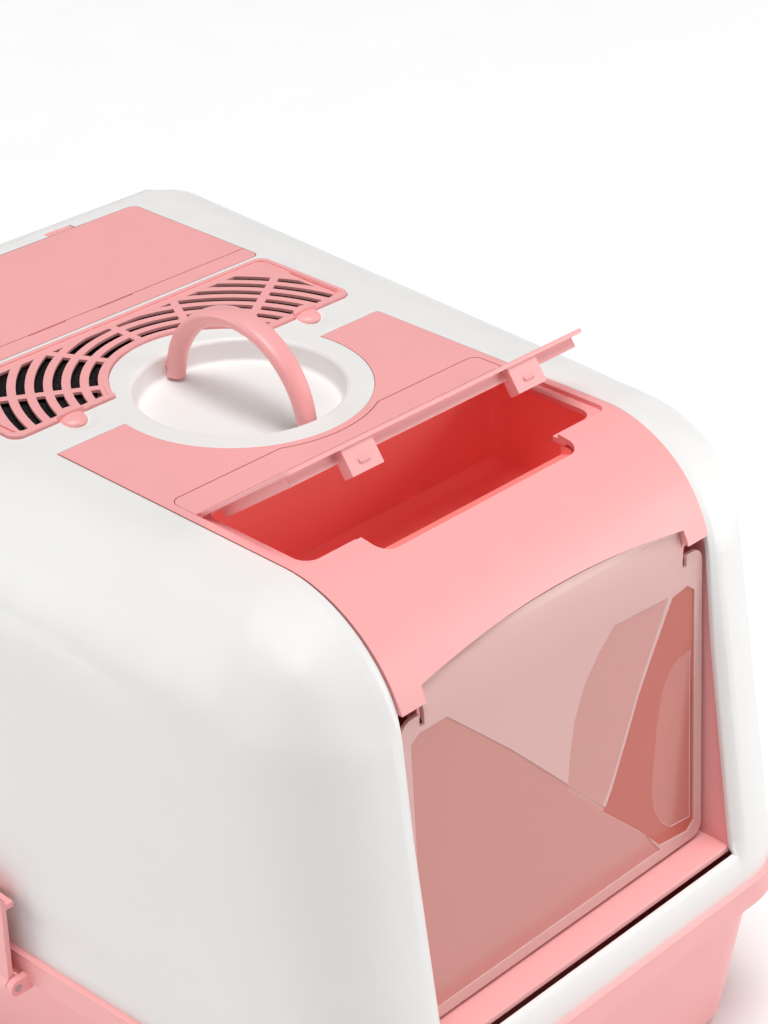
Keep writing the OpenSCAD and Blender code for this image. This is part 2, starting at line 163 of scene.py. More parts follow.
def drum(name, middle, radius, height, along="Z", sides=96, radius2=None):
    """A cylinder or a cone frustum, centred on a point."""
    deselect()
    turn = {"X": (0, math.pi / 2, 0), "Y": (math.pi / 2, 0, 0), "Z": (0, 0, 0)}[along]
    second = radius if radius2 is None else radius2
    bpy.ops.mesh.primitive_cone_add(
        vertices=sides, radius1=radius * MM, radius2=second * MM, depth=height * MM,
        location=Vector(middle) * MM, rotation=turn)
    obj = bpy.context.object
    obj.name = name
    bake_place(obj)
    return obj


def ball(name, middle, radius, stretch=(1, 1, 1), sides=48):
    deselect()
    bpy.ops.mesh.primitive_uv_sphere_add(
        segments=sides, ring_count=sides // 2, radius=radius * MM, location=Vector(middle) * MM)
    obj = bpy.context.object
    obj.name, obj.scale = name, stretch
    bake_place(obj)
    return obj


def prism(name, outline, low, high, plane="XY"):
    """A flat outline drawn out along the third axis. It starts as a circle whose
    points are moved to the outline, and is then extruded."""
    deselect()
    bpy.ops.mesh.primitive_circle_add(vertices=len(outline), fill_type="NGON")
    obj = bpy.context.object
    obj.name = name
    rise = {"XY": Vector((0, 0, 1)), "YZ": Vector((1, 0, 0)), "XZ": Vector((0, 1, 0))}[plane]
    for vert, (a, b) in zip(obj.data.vertices, outline):
        flat = {"XY": (a, b, 0), "YZ": (0, a, b), "XZ": (a, 0, b)}[plane]
        vert.co = (Vector(flat) + rise * low) * MM
    bpy.ops.object.mode_set(mode="EDIT")
    bpy.ops.mesh.select_all(action="SELECT")
    bpy.ops.mesh.extrude_region_move(
        TRANSFORM_OT_translate={"value": rise * (high - low) * MM})
    bpy.ops.mesh.select_all(action="SELECT")
    bpy.ops.mesh.normals_make_consistent(inside=False)
    bpy.ops.object.mode_set(mode="OBJECT")
    return obj


def lathe(name, profile, steps=128, turn=360, axis=(0, 0, 1), centre=(0, 0, 0), across=(1, 0, 0)):
    """A closed or open outline of (distance, height) pairs spun round an axis."""
    deselect()
    bpy.ops.mesh.primitive_circle_add(vertices=len(profile), fill_type="NOTHING")
    obj = bpy.context.object
    obj.name = name
    rise, out = Vector(axis), Vector(across)
    for vert, (r, h) in zip(obj.data.vertices, profile):
        vert.co = (Vector(centre) + out * r + rise * h) * MM
    bpy.ops.object.mode_set(mode="EDIT")
    bpy.ops.mesh.select_all(action="SELECT")
    bpy.ops.mesh.spin(steps=steps, angle=math.radians(turn), center=Vector(centre) * MM, axis=axis)
    bpy.ops.mesh.select_all(action="SELECT")
    bpy.ops.mesh.remove_doubles(threshold=0.001 * MM)
    bpy.ops.mesh.dissolve_degenerate(threshold=0.001 * MM)
    bpy.ops.mesh.normals_make_consistent(inside=False)
    bpy.ops.object.mode_set(mode="OBJECT")
    return obj


def slice_grid(obj, planes):
    """Cuts a mesh through by (axis, positions), so that it can be shaped finely."""
    pick(obj)
    bpy.ops.object.mode_set(mode="EDIT")
    for axis, places in planes:
        normal = [0, 0, 0]
        normal["XYZ".index(axis)] = 1
        for place in places:
            bpy.ops.mesh.select_all(action="SELECT")
            bpy.ops.mesh.bisect(plane_co=Vector(normal) * place * MM, plane_no=normal)
    bpy.ops.object.mode_set(mode="OBJECT")


def smooth(value, low, high):
    """Runs from 0 to 1 between two values, gently at both ends."""
    t = min(1, max(0, (value - low) / (high - low)))
    return t * t * (3 - 2 * t)


def inside(outline, x, y):
    hit = False
    for (ax, ay), (bx, by) in zip(outline, outline[1:] + outline[:1]):
        if (ay > y) != (by > y) and x < (bx - ax) * (y - ay) / (by - ay) + ax:
            hit = not hit
    return hit


def depth_in(outline, x, y):
    """How far a point lies inside an outline; 0 outside it."""
    if not inside(outline, x, y):
        return 0
    near = 1e9
    for (ax, ay), (bx, by) in zip(outline, outline[1:] + outline[:1]):
        dx, dy = bx - ax, by - ay
        t = min(1, max(0, ((x - ax) * dx + (y - ay) * dy) / (dx * dx + dy * dy)))
        near = min(near, math.hypot(x - ax - t * dx, y - ay - t * dy))
    return near


def combine(obj, other, how):
    """Boolean of two solids; the second one is used up."""
    modify(obj, "BOOLEAN", object=other, operation=how, solver="EXACT")
    bpy.data.objects.remove(other, do_unlink=True)
    return obj


def cut(obj, *others):
    for other in others:
        combine(obj, other, "DIFFERENCE")
    return obj


def add(obj, *others):
    for other in others:
        combine(obj, other, "UNION")
    return obj


def clean(obj, flat=0.4):
    """Merges doubles and dissolves the lines inside flat faces."""
    pick(obj)
    bpy.ops.object.mode_set(mode="EDIT")
    bpy.ops.mesh.select_all(action="SELECT")
    bpy.ops.mesh.remove_doubles(threshold=0.02 * MM)
    bpy.ops.mesh.dissolve_limited(angle_limit=math.radians(flat))
    bpy.ops.object.mode_set(mode="OBJECT")


def soften(obj, width, segments=2, over=32, clamp=True):
    """Rounds every edge that is sharper than an angle, and shades the rest smooth."""
    clean(obj)
    modify(obj, "BEVEL", width=width, segments=segments, limit_method="ANGLE",
           angle_limit=math.radians(over), use_clamp_overlap=clamp)
    shade(obj)


def shade(obj, over=40):
    pick(obj)
    bpy.ops.object.shade_smooth_by_angle(angle=math.radians(over))
    modify(obj, "WEIGHTED_NORMAL", keep_sharp=True, weight=80)


def cast_copy(node, name):
    """A merged copy of a CAD piece, ready to be softened."""
    pick(frame["nodes"][node])
    bpy.ops.object.duplicate()
    obj = bpy.context.object
    bpy.ops.object.parent_clear(type="CLEAR_KEEP_TRANSFORM")
    obj.name = name
    bpy.ops.mesh.customdata_custom_splitnormals_clear()
    clean(obj)
    return obj


def arc(centre, radius, start, end, steps):
    """Points on an arc, angles in degrees."""
    return [(centre[0] + radius * math.cos(math.radians(a)),
             centre[1] + radius * math.sin(math.radians(a)))
            for a in (start + (end - start) * i / steps for i in range(steps + 1))]


def rounded(x0, x1, y0, y1, r, steps=8):
    return (arc((x1 - r, y1 - r), r, 0, 90, steps) + arc((x0 + r, y1 - r), r, 90, 180, steps)
            + arc((x0 + r, y0 + r), r, 180, 270, steps) + arc((x1 - r, y0 + r), r, 270, 360, steps))


def dress(obj, body, slot, paint, *nodes):
    """Paints a piece, fixes it to its body and hides the CAD pieces it stands for."""
    obj.data.materials.clear()
    obj.data.materials.append(paint)
    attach(obj, body)
    if nodes:
        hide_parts(*nodes)
    return obj


# ---- Materials ----

def graph(name):
    """A material's nodes, links and shader, made once."""
    mat = bpy.data.materials.new(name)
    mat.use_nodes = True
    tree = mat.node_tree
    return mat, tree, tree.nodes["Principled BSDF"]


def noise(tree, scale, detail, rough=0.5):
    """A noise pattern on object coordinates."""
    place = tree.nodes.new("ShaderNodeTexCoord")
    node = tree.nodes.new("ShaderNodeTexNoise")
    node.inputs["Scale"].default_value = scale
    node.inputs["Detail"].default_value = detail
    node.inputs["Roughness"].default_value = rough
    tree.links.new(place.outputs["Object"], node.inputs["Vector"])
    return node.outputs["Fac"]


def spread(tree, source, low, high, start=0.3, end=0.7):
    node = tree.nodes.new("ShaderNodeMapRange")
    for key, value in (("From Min", start), ("From Max", end), ("To Min", low), ("To Max", high)):
        node.inputs[key].default_value = value
    tree.links.new(source, node.inputs["Value"])
    return node.outputs["Result"]


def between(tree, source, first, second):
    node = tree.nodes.new("ShaderNodeMix")
    node.data_type = "RGBA"
    node.inputs["A"].default_value = (*first, 1)
    node.inputs["B"].default_value = (*second, 1)
    tree.links.new(source, node.inputs["Factor"])
    return node.outputs["Result"]


def bump(tree, shader, source, strength, distance):
    node = tree.nodes.new("ShaderNodeBump")
    node.inputs["Strength"].default_value = strength
    node.inputs["Distance"].default_value = distance
    tree.links.new(source, node.inputs["Height"])
    tree.links.new(node.outputs["Normal"], shader.inputs["Normal"])


def shift(tint, by):
    return tuple(min(1, max(0, c * by)) for c in tint)


def moulded_plastic(name, tint, rough=0.36, painted_glow=0.0):
    """Injection-moulded plastic: faint flow clouding, a fine satin grain and a
    soft uneven gloss. A glow paints light onto a part: it glows by emission, standing in for the
    light that comes through thin deep plastic."""
    if name in bpy.data.materials:
        return bpy.data.materials[name]
    mat, tree, shader = graph(name)
    cloud = noise(tree, 9, 3)
    tree.links.new(between(tree, cloud, shift(tint, 0.975), shift(tint, 1.02)),
                   shader.inputs["Base Color"])
    tree.links.new(spread(tree, noise(tree, 55, 4), rough - 0.05, rough + 0.06),
                   shader.inputs["Roughness"])
    bump(tree, shader, noise(tree, 1400, 2, 0.6), 0.05, 0.0004)
    shader.inputs["IOR"].default_value = 1.49
    # Painted light: when the glow strength is above zero the part glows by emission, in a deeper
    # shade of its tint
    shader.inputs["Emission Color"].default_value = (tint[0], tint[1] * 0.3, tint[2] * 0.3, 1)
    shader.inputs["Emission Strength"].default_value = painted_glow
    return mat


def clear_rose(tint):
    """See-through smoky plastic with a slight haze. Painted shade makes it deeper where facets are
    pressed, and a painted highlight pales its rounded edges.
    """
    name = "clear_rose_plastic"
    if name in bpy.data.materials:
        return bpy.data.materials[name]
    mat, tree, shader = graph(name)
    painted_light = tree.nodes.new("ShaderNodeAttribute")
    painted_light.attribute_name = "painted_light"
    # Painted shade: faces carrying a facet's value run from the pale tint towards this deep one
    pale, deep = shift(tint, 1.12), (tint[0] * 0.84, tint[1] * 0.30, tint[2] * 0.23)
    body = between(tree, spread(tree, painted_light.outputs["Fac"], 0, 1, 0, 1), pale, deep)
    # Painted highlight: faces marked as rounded edges are painted a pale glint
    painted_glint_mix = tree.nodes.new("ShaderNodeMix")
    painted_glint_mix.data_type = "RGBA"
    painted_glint_mix.inputs["B"].default_value = (*PAINTED_EDGE_GLINT, 1)
    tree.links.new(spread(tree, painted_light.outputs["Fac"], 1, 0, -1, 0), painted_glint_mix.inputs["Factor"])
    tree.links.new(body, painted_glint_mix.inputs["A"])
    body = painted_glint_mix.outputs["Result"]
    cloud = between(tree, noise(tree, 14, 3), (0.92, 0.92, 0.92), (1, 1, 1))
    haze = tree.nodes.new("ShaderNodeMix")
    haze.data_type, haze.blend_type = "RGBA", "MULTIPLY"
    haze.inputs["Factor"].default_value = 0.5
    tree.links.new(body, haze.inputs["A"])
    tree.links.new(cloud, haze.inputs["B"])
    tree.links.new(haze.outputs["Result"], shader.inputs["Base Color"])
    tree.links.new(spread(tree, noise(tree, 60, 3), 0.08, 0.14), shader.inputs["Roughness"])
    bump(tree, shader, noise(tree, 35, 2), 0.02, 0.0006)
    shader.inputs["IOR"].default_value = 1.55
    shader.inputs["Alpha"].default_value = 0.72
    return mat


def carbon_felt(tint):
    """Black non-woven pad with pale specks and a fibrous bump."""
    name = "carbon_felt"
    if name in bpy.data.materials:
        return bpy.data.materials[name]
    mat, tree, shader = graph(name)
    specks = spread(tree, noise(tree, 900, 3, 0.7), 0, 1, 0.62, 0.72)
    tree.links.new(between(tree, specks, tint, (0.16, 0.13, 0.12)), shader.inputs["Base Color"])
    shader.inputs["Roughness"].default_value = 0.92
    shader.inputs["Specular IOR Level"].default_value = 0.12
    bump(tree, shader, noise(tree, 600, 4, 0.7), 0.8, 0.001)
    return mat


def brushed_pin(tint):
    name = "pin_steel"
    if name in bpy.data.materials:
        return bpy.data.materials[name]
    mat, tree, shader = graph(name)
    shader.inputs["Metallic"].default_value = 1
    tree.links.new(between(tree, noise(tree, 400, 3), shift(tint, 0.9), tint),
                   shader.inputs["Base Color"])
    tree.links.new(spread(tree, noise(tree, 300, 3), 0.25, 0.4), shader.inputs["Roughness"])
    return mat


def pink():
    return moulded_plastic("satin_pink", bpy.context.scene.litter_colours.pink, 0.36)


def bin_pink():
    # Painted light: the bin glows by emission at 0.1, to brighten its inside
    return moulded_plastic("satin_deep_pink", bpy.context.scene.litter_colours.deep, 0.4, 0.1)


def white():
    return moulded_plastic("satin_white", bpy.context.scene.litter_colours.white, 0.46)


# ---- Pieces ----

def roll_in(drop):
    """How far the front skin is rolled in at the doorway, at a height below the top."""
    return 4.5 * min(1, max(0, (-drop - 12) / 110))


def front_skin(drop):
    """Where the front face stands along Y, at a height below the top."""
    radius = bpy.context.scene.litter_sizes.front_radius / MM
    if drop > -66:
        return FRONT_CURVE_START - math.sqrt(radius ** 2 - (drop + radius) ** 2)
    return FACE_START + drop * math.tan(FACE_LEAN)


class LITTERBOX_OT_hood_shell(bpy.types.Operator):
    """White hood: a drafted box with soft shoulders, hollowed and cut for its panels"""
    bl_idname = "litterbox.hood_shell"
    bl_label = "Hood shell"

    front_seam = -271.5
    rear_seam = 272.5

    def form(self, name):
        """The hood's outside, closed, before it is hollowed."""
        size = bpy.context.scene.litter_sizes
        deselect()
        bpy.ops.mesh.primitive_cube_add(size=2)
        obj = bpy.context.object
        obj.name = name
        corners = {
            (-1, -1): (184.2, self.front_seam, SEAM), (-1, 1): (178.4, FACE_START, TOP),
            (1, -1): (208.0, self.rear_seam, SEAM), (1, 1): (210.0, 268.5, TOP),
        }
        for vert in obj.data.vertices:
            sx, sy, sz = (1 if c > 0 else -1 for c in vert.co)
            x, y, z = corners[(sy, sz)]
            vert.co = Vector((sx * x, y, z)) * MM
        obj.data.update()
        # The bevel's width along an edge differs from the radius where faces aren't square
        front, rear = size.front_corner * 0.956, size.rear_corner * 1.045
        front_top, rear_top = size.front_radius * 0.847, size.rear_radius * 0.98
        reach = {}
        for edge in obj.data.edges:
            a, b = (obj.data.vertices[i].co / MM for i in edge.vertices)
            if max(a.z, b.z) < TOP - 1:
                reach[edge.index] = 0
            elif min(a.z, b.z) < TOP - 1:
                reach[edge.index] = front if max(a.y, b.y) < 0 else rear
            elif a.y * b.y < 0:
                reach[edge.index] = size.shoulder_radius
            else:
                reach[edge.index] = front_top if a.y < 0 else rear_top
        most = max(reach.values())
        weight = obj.data.attributes.new("bevel_weight_edge", "FLOAT", "EDGE")
        for index, value in reach.items():
            weight.data[index].value = value / most
        modify(obj, "BEVEL", width=most, segments=20, limit_method="WEIGHT",
               use_clamp_overlap=False)
        return obj

    # Outline of the raised field on each side wall, (y, z below the top)
    field = [(-206, -240), (-203, -190), (-197, -150), (-188, -120), (-171.6, -96.4),
             (-156, -81), (-139.4, -69.9), (-118, -59.5), (-95.6, -53), (-60, -49.5),
             (30, -48), (110, -50), (150, -57), (182, -70), (206, -90), (222, -118),
             (230, -150), (234, -200), (236, -240)]

    def shape_skin(self, obj):
        """Raises the side fields, and rolls the skin in towards the doorway."""
        size = bpy.context.scene.litter_sizes
        rise = size.bulge / MM
        slice_grid(obj, (
            ("Y", range(-236, 262, 6)),
            ("Z", [TOP - z for z in range(42, 262, 6)]),
            ("X", [side * (DOORWAY + g) for side in (-1, 1) for g in (0.8, 2, 4, 6, 9)]),
            ("X", range(-110, 111, 20)),
        ))
        for vert in obj.data.vertices:
            x, y, z = vert.co / MM
            drop = z - TOP
            if abs(x) > 150:
                deep = min(1, depth_in(self.field, y, drop) / 24)
                vert.co.x += math.copysign((1 - (1 - deep) ** 2) * rise * MM, x)
            elif y < -150:
                away = math.hypot(max(0, abs(x) - DOORWAY), max(0, -246 - drop))
                vert.co.y += roll_in(drop) * (1 - min(1, away / 9)) ** 2 * MM
        self.even_out(obj)
        shade(obj)

    def even_out(self, obj):
        """Smooths the skin where the front corners run into the shoulders."""
        pick(obj)
        bpy.ops.object.mode_set(mode="EDIT")
        bpy.ops.mesh.select_mode(type="VERT")
        bpy.ops.mesh.select_all(action="DESELECT")
        bpy.ops.object.mode_set(mode="OBJECT")
        for vert in obj.data.vertices:
            x, y, z = vert.co / MM
            vert.select = abs(x) > DOORWAY + 12 and y < -120 and TOP - 190 < z < TOP + 1
        bpy.ops.object.mode_set(mode="EDIT")
        bpy.ops.mesh.vertices_smooth(factor=0.5, repeat=10)
        bpy.ops.mesh.select_mode(type="FACE")
        bpy.ops.object.mode_set(mode="OBJECT")

    def execute(self, context):
        size = context.scene.litter_sizes
        shell = self.form("hood_shell_skin")
        # Open the underside and give the skin its thickness
        pick(shell)
        bpy.ops.object.mode_set(mode="EDIT")
        bpy.ops.mesh.select_all(action="DESELECT")
        bpy.ops.object.mode_set(mode="OBJECT")
        for face in shell.data.polygons:
            face.select = face.center.z < (SEAM + 0.1) * MM
        bpy.ops.object.mode_set(mode="EDIT")
        bpy.ops.mesh.delete(type="FACE")
        bpy.ops.mesh.select_all(action="SELECT")
        bpy.ops.mesh.normals_make_consistent(inside=False)
        bpy.ops.object.mode_set(mode="OBJECT")
        modify(shell, "SOLIDIFY", thickness=size.wall, offset=-1, use_even_offset=True,
               thickness_clamp=0)
        # Cup under the handle recess
        add(shell, drum("cup", (0, 0, TOP - 9.5), 66, 17))
        # Saddle opening, all but the white ring
        flank = [(120.1, TOP + 50), (120.1, TOP - 4), (119.6, TOP - 20), (118.7, TOP - 40),
                 (118, TOP - 54)]
        saddle = prism("saddle", [(-x, z) for x, z in flank] + flank[::-1], -400, 11.6, "XZ")
        cut(saddle, drum("ring", (0, 0, TOP), size.ring / MM, 200, sides=160))
        cut(shell, saddle)
        cut(shell, block("doorway", (-DOORWAY, -400, SEAM + 21), (DOORWAY, -200, TOP - 53.5)))
        cut(shell, prism("hatch", rounded(-129.8, 129.8, 120.8, 237.2, 5.5), TOP - 12, TOP + 5))
        for x in (-HATCH_TAB_X, HATCH_TAB_X):
            cut(shell, block("tab", (x - 10.7, 236, TOP - 9), (x + 10.7, 242.8, TOP + 5)))
        cut(shell, vent_shape("vent_pocket", -0.5, TOP - 1.8, TOP + 5))
        cut(shell, vent_shape("vent_hole", 4, TOP - 9, TOP + 5))
        for x in (-LUG_X, LUG_X):
            cut(shell, ball("dimple", (x, 31, TOP + 19.4), 22))
        self.sink_recess(shell, size)
        for y in (-60.5, 60.5):
            cut(shell, drum("stud", (0, y, HANDLE_PIVOT), 3.1, 8, along="Y", sides=32))
        for side in (-1, 1):
            x, y, z = KNUCKLE[0] * side, *KNUCKLE[1:]
            knuckle = drum("knuckle", (x, y, z), 6, 22.8, along="X", sides=48)
            add(knuckle, block("arm", (x - 11.4, y - 13, z), (x + 11.4, y, z + 6)))
            cut(knuckle, drum("pin_hole", (x, y, z), 3.1, 30, along="X", sides=32))
            add(shell, knuckle)
        soften(shell, size.edge, clamp=False)
        self.shape_skin(shell)
        dress(shell, "hood", "white_plastic", white(), "hood_shell")
        return {"FINISHED"}

    def sink_recess(self, shell, size):
        """Round handle recess with a soft rim and a filleted floor."""
        floor, wall = TOP - size.recess_depth / MM, size.recess / MM
        profile = [(0, floor), (wall - 4.2, floor)]
        profile += arc((wall - 4.2, floor + 3), 3, -90, -8, 6)[1:]
        profile += arc((wall + 2.6, TOP - 3), 3, 172, 90, 8)
        profile += [(wall + 2.6, TOP + 4), (0, TOP + 4)]
        cut(shell, lathe("recess", profile))


def vent_shape(name, inset, low, high):
    """The vent's outline: a rounded bar with a round bite for the handle's ring."""
    outline = rounded(-126 + inset, 126 - inset, 38.5 + inset, 115.5 - inset, 7 - inset / 2)
    middle, tall = (0, 18.5, (low + high) / 2), high - low + 10
    return cut(prism(name, outline, low, high), drum("bite", middle, 60 + inset, tall, sides=128))


class LITTERBOX_OT_cast_parts(bpy.types.Operator):
    """Moulded parts whose shape is the plain design shape, with softened edges"""
    bl_idname = "litterbox.cast_parts"
    bl_label = "Moulded parts"

    # piece, body, edge softening in mm
    parts = (
        ("base_tray", "tray", 1.2),
        ("left_latch", "left_latch", 0.8),
        ("right_latch", "right_latch", 0.8),
        ("front_panel", "hood", 0.8),
        ("storage_bin", "hood", 0.8),
        ("storage_lid_base", "hood", 0.5),
        ("storage_lid", "storage_lid", 0.5),
        ("filter_tray", "hood", 0.5),
        ("scoop_hatch_base", "hood", 0.5),
        ("scoop_hatch", "hatch", 0.5),
        ("scoop_bin", "hood", 0.8),
        ("litter_scoop", "hood", 0.8),
    )

    def execute(self, context):
        for node, body, edge in self.parts:
            obj = cast_copy(node, node + "_moulding")
            if node == "front_panel":
                self.taper_legs(obj)
            soften(obj, edge * MM)
            paint = bin_pink() if node == "storage_bin" else pink()
            dress(obj, body, "pink_plastic", paint, node)
        return {"FINISHED"}

    def taper_legs(self, obj):
        """Trims the arched edge, and the two legs, which narrow towards their ends."""
        cut(obj, block("ends", (-140, -400, TOP - 70), (140, -230.6, TOP - 53)))
        arch = arc((0, TOP - 36.5 - 640), 640, 90 - 9.05, 90 + 9.05, 40)
        arch += [(-100.7, TOP - 60), (100.7, TOP - 60)]
        cut(obj, prism("arch", arch, -400, -200, "XZ"))
        for side in (-1, 1):
            flank = [(150, 10), (119.5, 10), (119.5, -4), (119, -20), (118.1, -40), (117.3, -60),
                     (150, -60)]
            cut(obj, prism("flank", [(side * x, TOP + z) for x, z in flank[::side]],
                           -400, 5, "XZ"))


class LITTERBOX_OT_carry_handle(bpy.types.Operator):
    """Bail handle: a crowned band swept over a half circle, on two stub pins"""
    bl_idname = "litterbox.carry_handle"
    bl_label = "Carry handle"

    # Section of the band: across (as a share of the width) and outwards from its middle
    section = [(0, 5), (0.24, 4.8), (0.40, 4.1), (0.485, 2.7), (0.5, 1.0), (0.46, -1.0),
               (0.36, -3.2), (0.22, -4.6), (0, -5)]

    def execute(self, context):
        size = context.scene.litter_sizes
        middle = size.handle_radius / MM - 5
        width = size.handle_width / MM
        half = [(u * width, v) for u, v in self.section]
        loop = half + [(-u, v) for u, v in half[-2:0:-1]]
        deselect()
        bpy.ops.mesh.primitive_circle_add(vertices=len(loop), fill_type="NGON")
        band = bpy.context.object
        band.name = "carry_handle_band"
        base = TOP - 13     # the arch springs from here
        for vert, (u, v) in zip(band.data.vertices, loop):
            vert.co = Vector((u, middle + v, base)) * MM
        bpy.ops.object.mode_set(mode="EDIT")
        bpy.ops.mesh.select_all(action="SELECT")
        bpy.ops.mesh.spin(steps=72, angle=math.radians(180), center=Vector((0, 0, base)) * MM,
                          axis=(-1, 0, 0))
        bpy.ops.mesh.select_all(action="SELECT")
        bpy.ops.mesh.normals_make_consistent(inside=False)
        bpy.ops.object.mode_set(mode="OBJECT")
        # The band is narrower at its feet than at its crown
        for vert in band.data.vertices:
            lift = max(0, (vert.co.z / MM - base) / middle)
            vert.co.x *= 0.78 + 0.36 * min(1, lift) ** 0.8
        cut(band, block("under", (-30, -80, base - 20), (30, 80, TOP - 11.8)))
        for side in (-1, 1):
            add(band, drum("stud", (0, side * 59.4, HANDLE_PIVOT), 3, 7.4, along="Y", sides=32))
        soften(band, 0.5 * MM, over=50)
        dress(band, "handle", "pink_plastic", pink(), "carry_handle")
        return {"FINISHED"}


class LITTERBOX_OT_vent_grille(bpy.types.Operator):
    """Vent grille with a raised border, sunk end panels and two domed finger tabs"""
    bl_idname = "litterbox.vent_grille"
    bl_label = "Vent grille"

    end_panel = [(119.6, 45.5), (122.4, 46.5), (122.4, 86), (121.4, 88)]

    def execute(self, context):
        obj = cast_copy("filter_grille", "filter_grille_moulding")
        for side in (-1, 1):
            wedge = [(side * x, y) for x, y in self.end_panel[::side]]
            cut(obj, prism("wedge", wedge, TOP - 0.6, TOP + 0.9))
            # The plain tab gives way to a small dome
            left, right = side * LUG_X - 20, side * LUG_X + 20
            cut(obj, block("lug", (left, 15, TOP - 20), (right, 38.3, TOP + 20)))
            tab = ball("tab", (side * LUG_X, 38.4, TOP - 1.4), 8.6, (1, 1.1, 0.42), sides=40)
            cut(tab, block("behind", (left, 39.2, TOP - 20), (right, 60, TOP + 20)))
            cut(tab, block("below", (left, 0, TOP - 20), (right, 60, TOP - 2.2)))
            add(obj, tab)
        cut(obj, vent_shape("under", 7, TOP - 20, TOP - 1.1))
        soften(obj, 0.45 * MM)
        dress(obj, "grille", "pink_plastic", pink(), "filter_grille")
        return {"FINISHED"}


class LITTERBOX_OT_door_frame(bpy.types.Operator):
    """Jambs and sill, cut back to the edge of the hood's rolled-in front"""
    bl_idname = "litterbox.door_frame"
    bl_label = "Door frame"

    def execute(self, context):
        obj = cast_copy("door_frame", "door_frame_moulding")
        steps = [-50 - 10 * i for i in range(22)]
        front = [(-400, TOP - 50), (-400, TOP - 260)]
        front += [(front_skin(d) + roll_in(d) + 3.6, TOP + d) for d in reversed(steps)]
        cut(obj, prism("front", front, -200, 200, "YZ"))
        soften(obj, 0.6 * MM)
        dress(obj, "hood", "pink_plastic", pink(), "door_frame")
        return {"FINISHED"}


class LITTERBOX_OT_door(bpy.types.Operator):
    """See-through swing door with pressed facets"""
    bl_idname = "litterbox.door"
    bl_label = "Door"

    # Facets pressed into the front: outline (x, z below the top), depth in mm, painted shade (how
    # dark the facet is painted)
    facets = (
        ([(-84, -70), (-38, -112), (12, -162), (62, -212), (80, -236), (-104, -236), (-110, -232),
          (-110, -74), (-104, -70)], 0.55, 0.52),
        ([(88, -79), (43, -76), (30, -87), (18, -101), (10, -118), (6, -136), (3, -158),
          (16, -171), (30, -184), (37, -174), (51, -146), (60, -127), (70, -110)], 0.35, 0.42),
        ([(91, -81), (72, -111), (62, -128), (53, -147), (39, -175), (32, -186), (64, -216),
          (80, -233), (104, -236), (110, -231), (110, -84), (104, -79)], 0.75, 0.95),
        ([(107, -121), (97, -121), (91, -124), (86, -130), (82, -140), (79, -152), (77, -168),
          (75, -182), (74, -196), (76, -208), (82, -219), (90, -226), (107, -228)], 1.05, 0.75),
    )

    # Where the front face starts, Y and height below the top, and how far it leans out
    face_y, face_drop = -232, -60
    lean = math.atan2(10.5, 183)

    def press(self, door, outline, depth):
        """Cuts a flat-bottomed facet square to the door's leaning front face."""
        flat = [(x, (z - self.face_drop) / math.cos(self.lean)) for x, z in outline]
        tool = prism("facet", flat, -20, depth, "XZ")
        tool.rotation_euler.x = -self.lean
        tool.location = Vector((0, self.face_y, TOP + self.face_drop)) * MM
        bake_place(tool)
        cut(door, tool)

    def raise_arch(self, door):
        """Lifts the arched top edge, and leads it in along the curve of the front."""
        for vert in door.data.vertices:
            lift = smooth(vert.co.z / MM - TOP, -60, -50) * smooth(-vert.co.y / MM, 205, 215)
            vert.co.z += 4 * lift * MM
            vert.co.y += 1.2 * lift * MM

    def execute(self, context):
        door = cast_copy("door_flap", "door_flap_clear")
        for outline, depth, painted_shade in self.facets:
            self.press(door, outline, depth)
        self.raise_arch(door)
        soften(door, 0.35 * MM, segments=2)
        # Painted highlight: the rounded edges are marked for a pale painted glint before the faces
        # are split up
        painted_light = door.data.attributes.new("painted_light", "FLOAT", "FACE")
        for face in door.data.polygons:
            lengths = [(door.data.vertices[a].co - door.data.vertices[b].co).length
                       for a, b in face.edge_keys]
            if min(lengths) < 0.3 * MM and max(lengths) > 8 * MM and face.normal.y < 0.3:
                painted_light.data[face.index].value = PAINTED_GLINT_MARK
        slice_grid(door, (("X", range(-112, 113, 4)), ("Z", [TOP - z for z in range(72, 240, 4)])))
        painted_light = door.data.attributes["painted_light"]
        # Painted shade: the faces inside each facet take its listed darkness, except the marked
        # edges
        for face in door.data.polygons:
            x, z = face.center.x / MM, face.center.z / MM - TOP
            if painted_light.data[face.index].value < -0.5:
                continue
            for outline, depth, painted_shade in self.facets:
                if inside(outline, x, z):
                    painted_light.data[face.index].value = painted_shade
        shade(door, 20)
        dress(door, "door", "clear_rose", clear_rose(context.scene.litter_colours.rose),
              "door_flap")
        return {"FINISHED"}


class LITTERBOX_OT_small_parts(bpy.types.Operator):
    """Filter pad and steel pins"""
    bl_idname = "litterbox.small_parts"
    bl_label = "Filter and pins"

    def execute(self, context):
        tints = context.scene.litter_colours
        pad = cast_copy("carbon_filter", "carbon_filter_pad")
        soften(pad, 1.0 * MM)
        dress(pad, "hood", "carbon_pad", carbon_felt(tints.carbon), "carbon_filter")
        for node in ("tray_hinge_pins", "latch_pins"):
            pins = frame["nodes"][node]
            pins.data.materials.clear()
            pins.data.materials.append(brushed_pin(tints.steel))
        return {"FINISHED"}


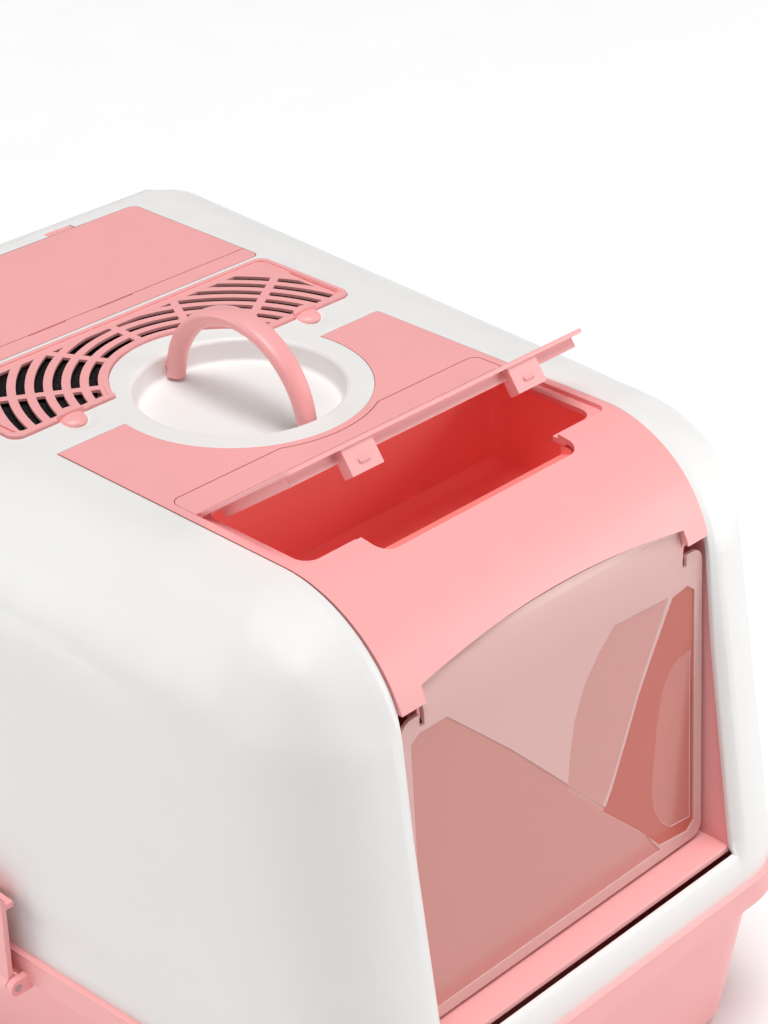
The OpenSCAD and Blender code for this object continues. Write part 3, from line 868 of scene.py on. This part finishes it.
class LITTERBOX_OT_stage(bpy.types.Operator):
    """Pale floor, soft lights and the camera"""
    bl_idname = "litterbox.stage"
    bl_label = "Stage"

    def lamp(self, name, place, aim, size, power, tint=(1, 1, 1)):
        deselect()
        bpy.ops.object.light_add(type="AREA", location=place)
        light = bpy.context.object
        light.name = name
        light.data.energy, light.data.size, light.data.color = power, size, tint
        toward = Vector(aim) - Vector(place)
        light.rotation_euler = toward.to_track_quat("-Z", "Y").to_euler()

    def execute(self, context):
        deselect()
        bpy.ops.mesh.primitive_plane_add(size=60)
        floor = bpy.context.object
        floor.name = "studio_floor"
        floor.data.materials.append(
            moulded_plastic("floor_paper", context.scene.litter_colours.floor, 0.8))

        world = bpy.data.worlds.new("studio")
        world.use_nodes = True
        world.node_tree.nodes["Background"].inputs["Color"].default_value = (1, 1, 1, 1)
        world.node_tree.nodes["Background"].inputs["Strength"].default_value = 0.1
        context.scene.world = world
        deselect()
        bpy.ops.object.light_add(type="SUN", rotation=(math.radians(8), math.radians(-6), 0))
        sun = bpy.context.object
        sun.name = "overhead"
        sun.data.energy, sun.data.angle = 2.7, math.radians(36)
        self.lamp("left_box", (-2.2, 1.9, 0.7), (-0.2, 0.1, 0.2), 1.8, 26)
        self.lamp("front_box", (2.1, -1.7, 0.8), (0.1, -0.2, 0.2), 1.5, 27)
        context.scene.view_settings.view_transform = "Standard"

        # Portrait lens, standing off the front left corner of the box
        azimuth, elevation, roll = (math.radians(a) for a in (-45.616, 29.442, -0.7686))
        back = Vector((math.sin(azimuth) * math.cos(elevation),
                       -math.cos(azimuth) * math.cos(elevation), math.sin(elevation)))
        right = Vector((0, 0, 1)).cross(back).normalized()
        up = back.cross(right)
        level = Matrix((right, up, back)).transposed()
        turned = level @ Matrix.Rotation(roll, 3, "Z")
        bpy.ops.object.camera_add(location=Vector((-833.4, -924.9, 619.9 + TOP)) * MM)
        camera = bpy.context.object
        camera.rotation_euler = turned.to_euler()
        camera.data.lens = 88.96
        camera.data.sensor_width = 36
        camera.data.clip_end = 50
        context.scene.camera = camera
        return {"FINISHED"}


class LITTERBOX_PT_panel(bpy.types.Panel):
    """Lists the pieces of the litter box"""
    bl_idname = "LITTERBOX_PT_panel"
    bl_label = "Litter box"
    bl_space_type = "VIEW_3D"
    bl_region_type = "UI"
    bl_category = "Litter box"

    def draw(self, context):
        for group in (context.scene.litter_sizes, context.scene.litter_colours):
            for key in group.__annotations__:
                self.layout.prop(group, key)
        for piece in PIECES:
            self.layout.operator(piece.bl_idname)


PIECES = (
    LITTERBOX_OT_hood_shell,
    LITTERBOX_OT_cast_parts,
    LITTERBOX_OT_carry_handle,
    LITTERBOX_OT_vent_grille,
    LITTERBOX_OT_door_frame,
    LITTERBOX_OT_door,
    LITTERBOX_OT_small_parts,
    LITTERBOX_OT_stage,
)
CLASSES = (LitterBoxSizes, LitterBoxColours, *PIECES, LITTERBOX_PT_panel)


def register():
    for each in CLASSES:
        bpy.utils.register_class(each)
    bpy.types.Scene.litter_sizes = PointerProperty(type=LitterBoxSizes)
    bpy.types.Scene.litter_colours = PointerProperty(type=LitterBoxColours)


def unregister():
    del bpy.types.Scene.litter_colours
    del bpy.types.Scene.litter_sizes
    for each in reversed(CLASSES):
        bpy.utils.unregister_class(each)


def main():
    register()
    bpy.ops.litterbox.hood_shell()
    bpy.ops.litterbox.cast_parts()
    bpy.ops.litterbox.carry_handle()
    bpy.ops.litterbox.vent_grille()
    bpy.ops.litterbox.door_frame()
    bpy.ops.litterbox.door()
    bpy.ops.litterbox.small_parts()
    bpy.ops.litterbox.stage()


if __name__ == "__main__":
    main()
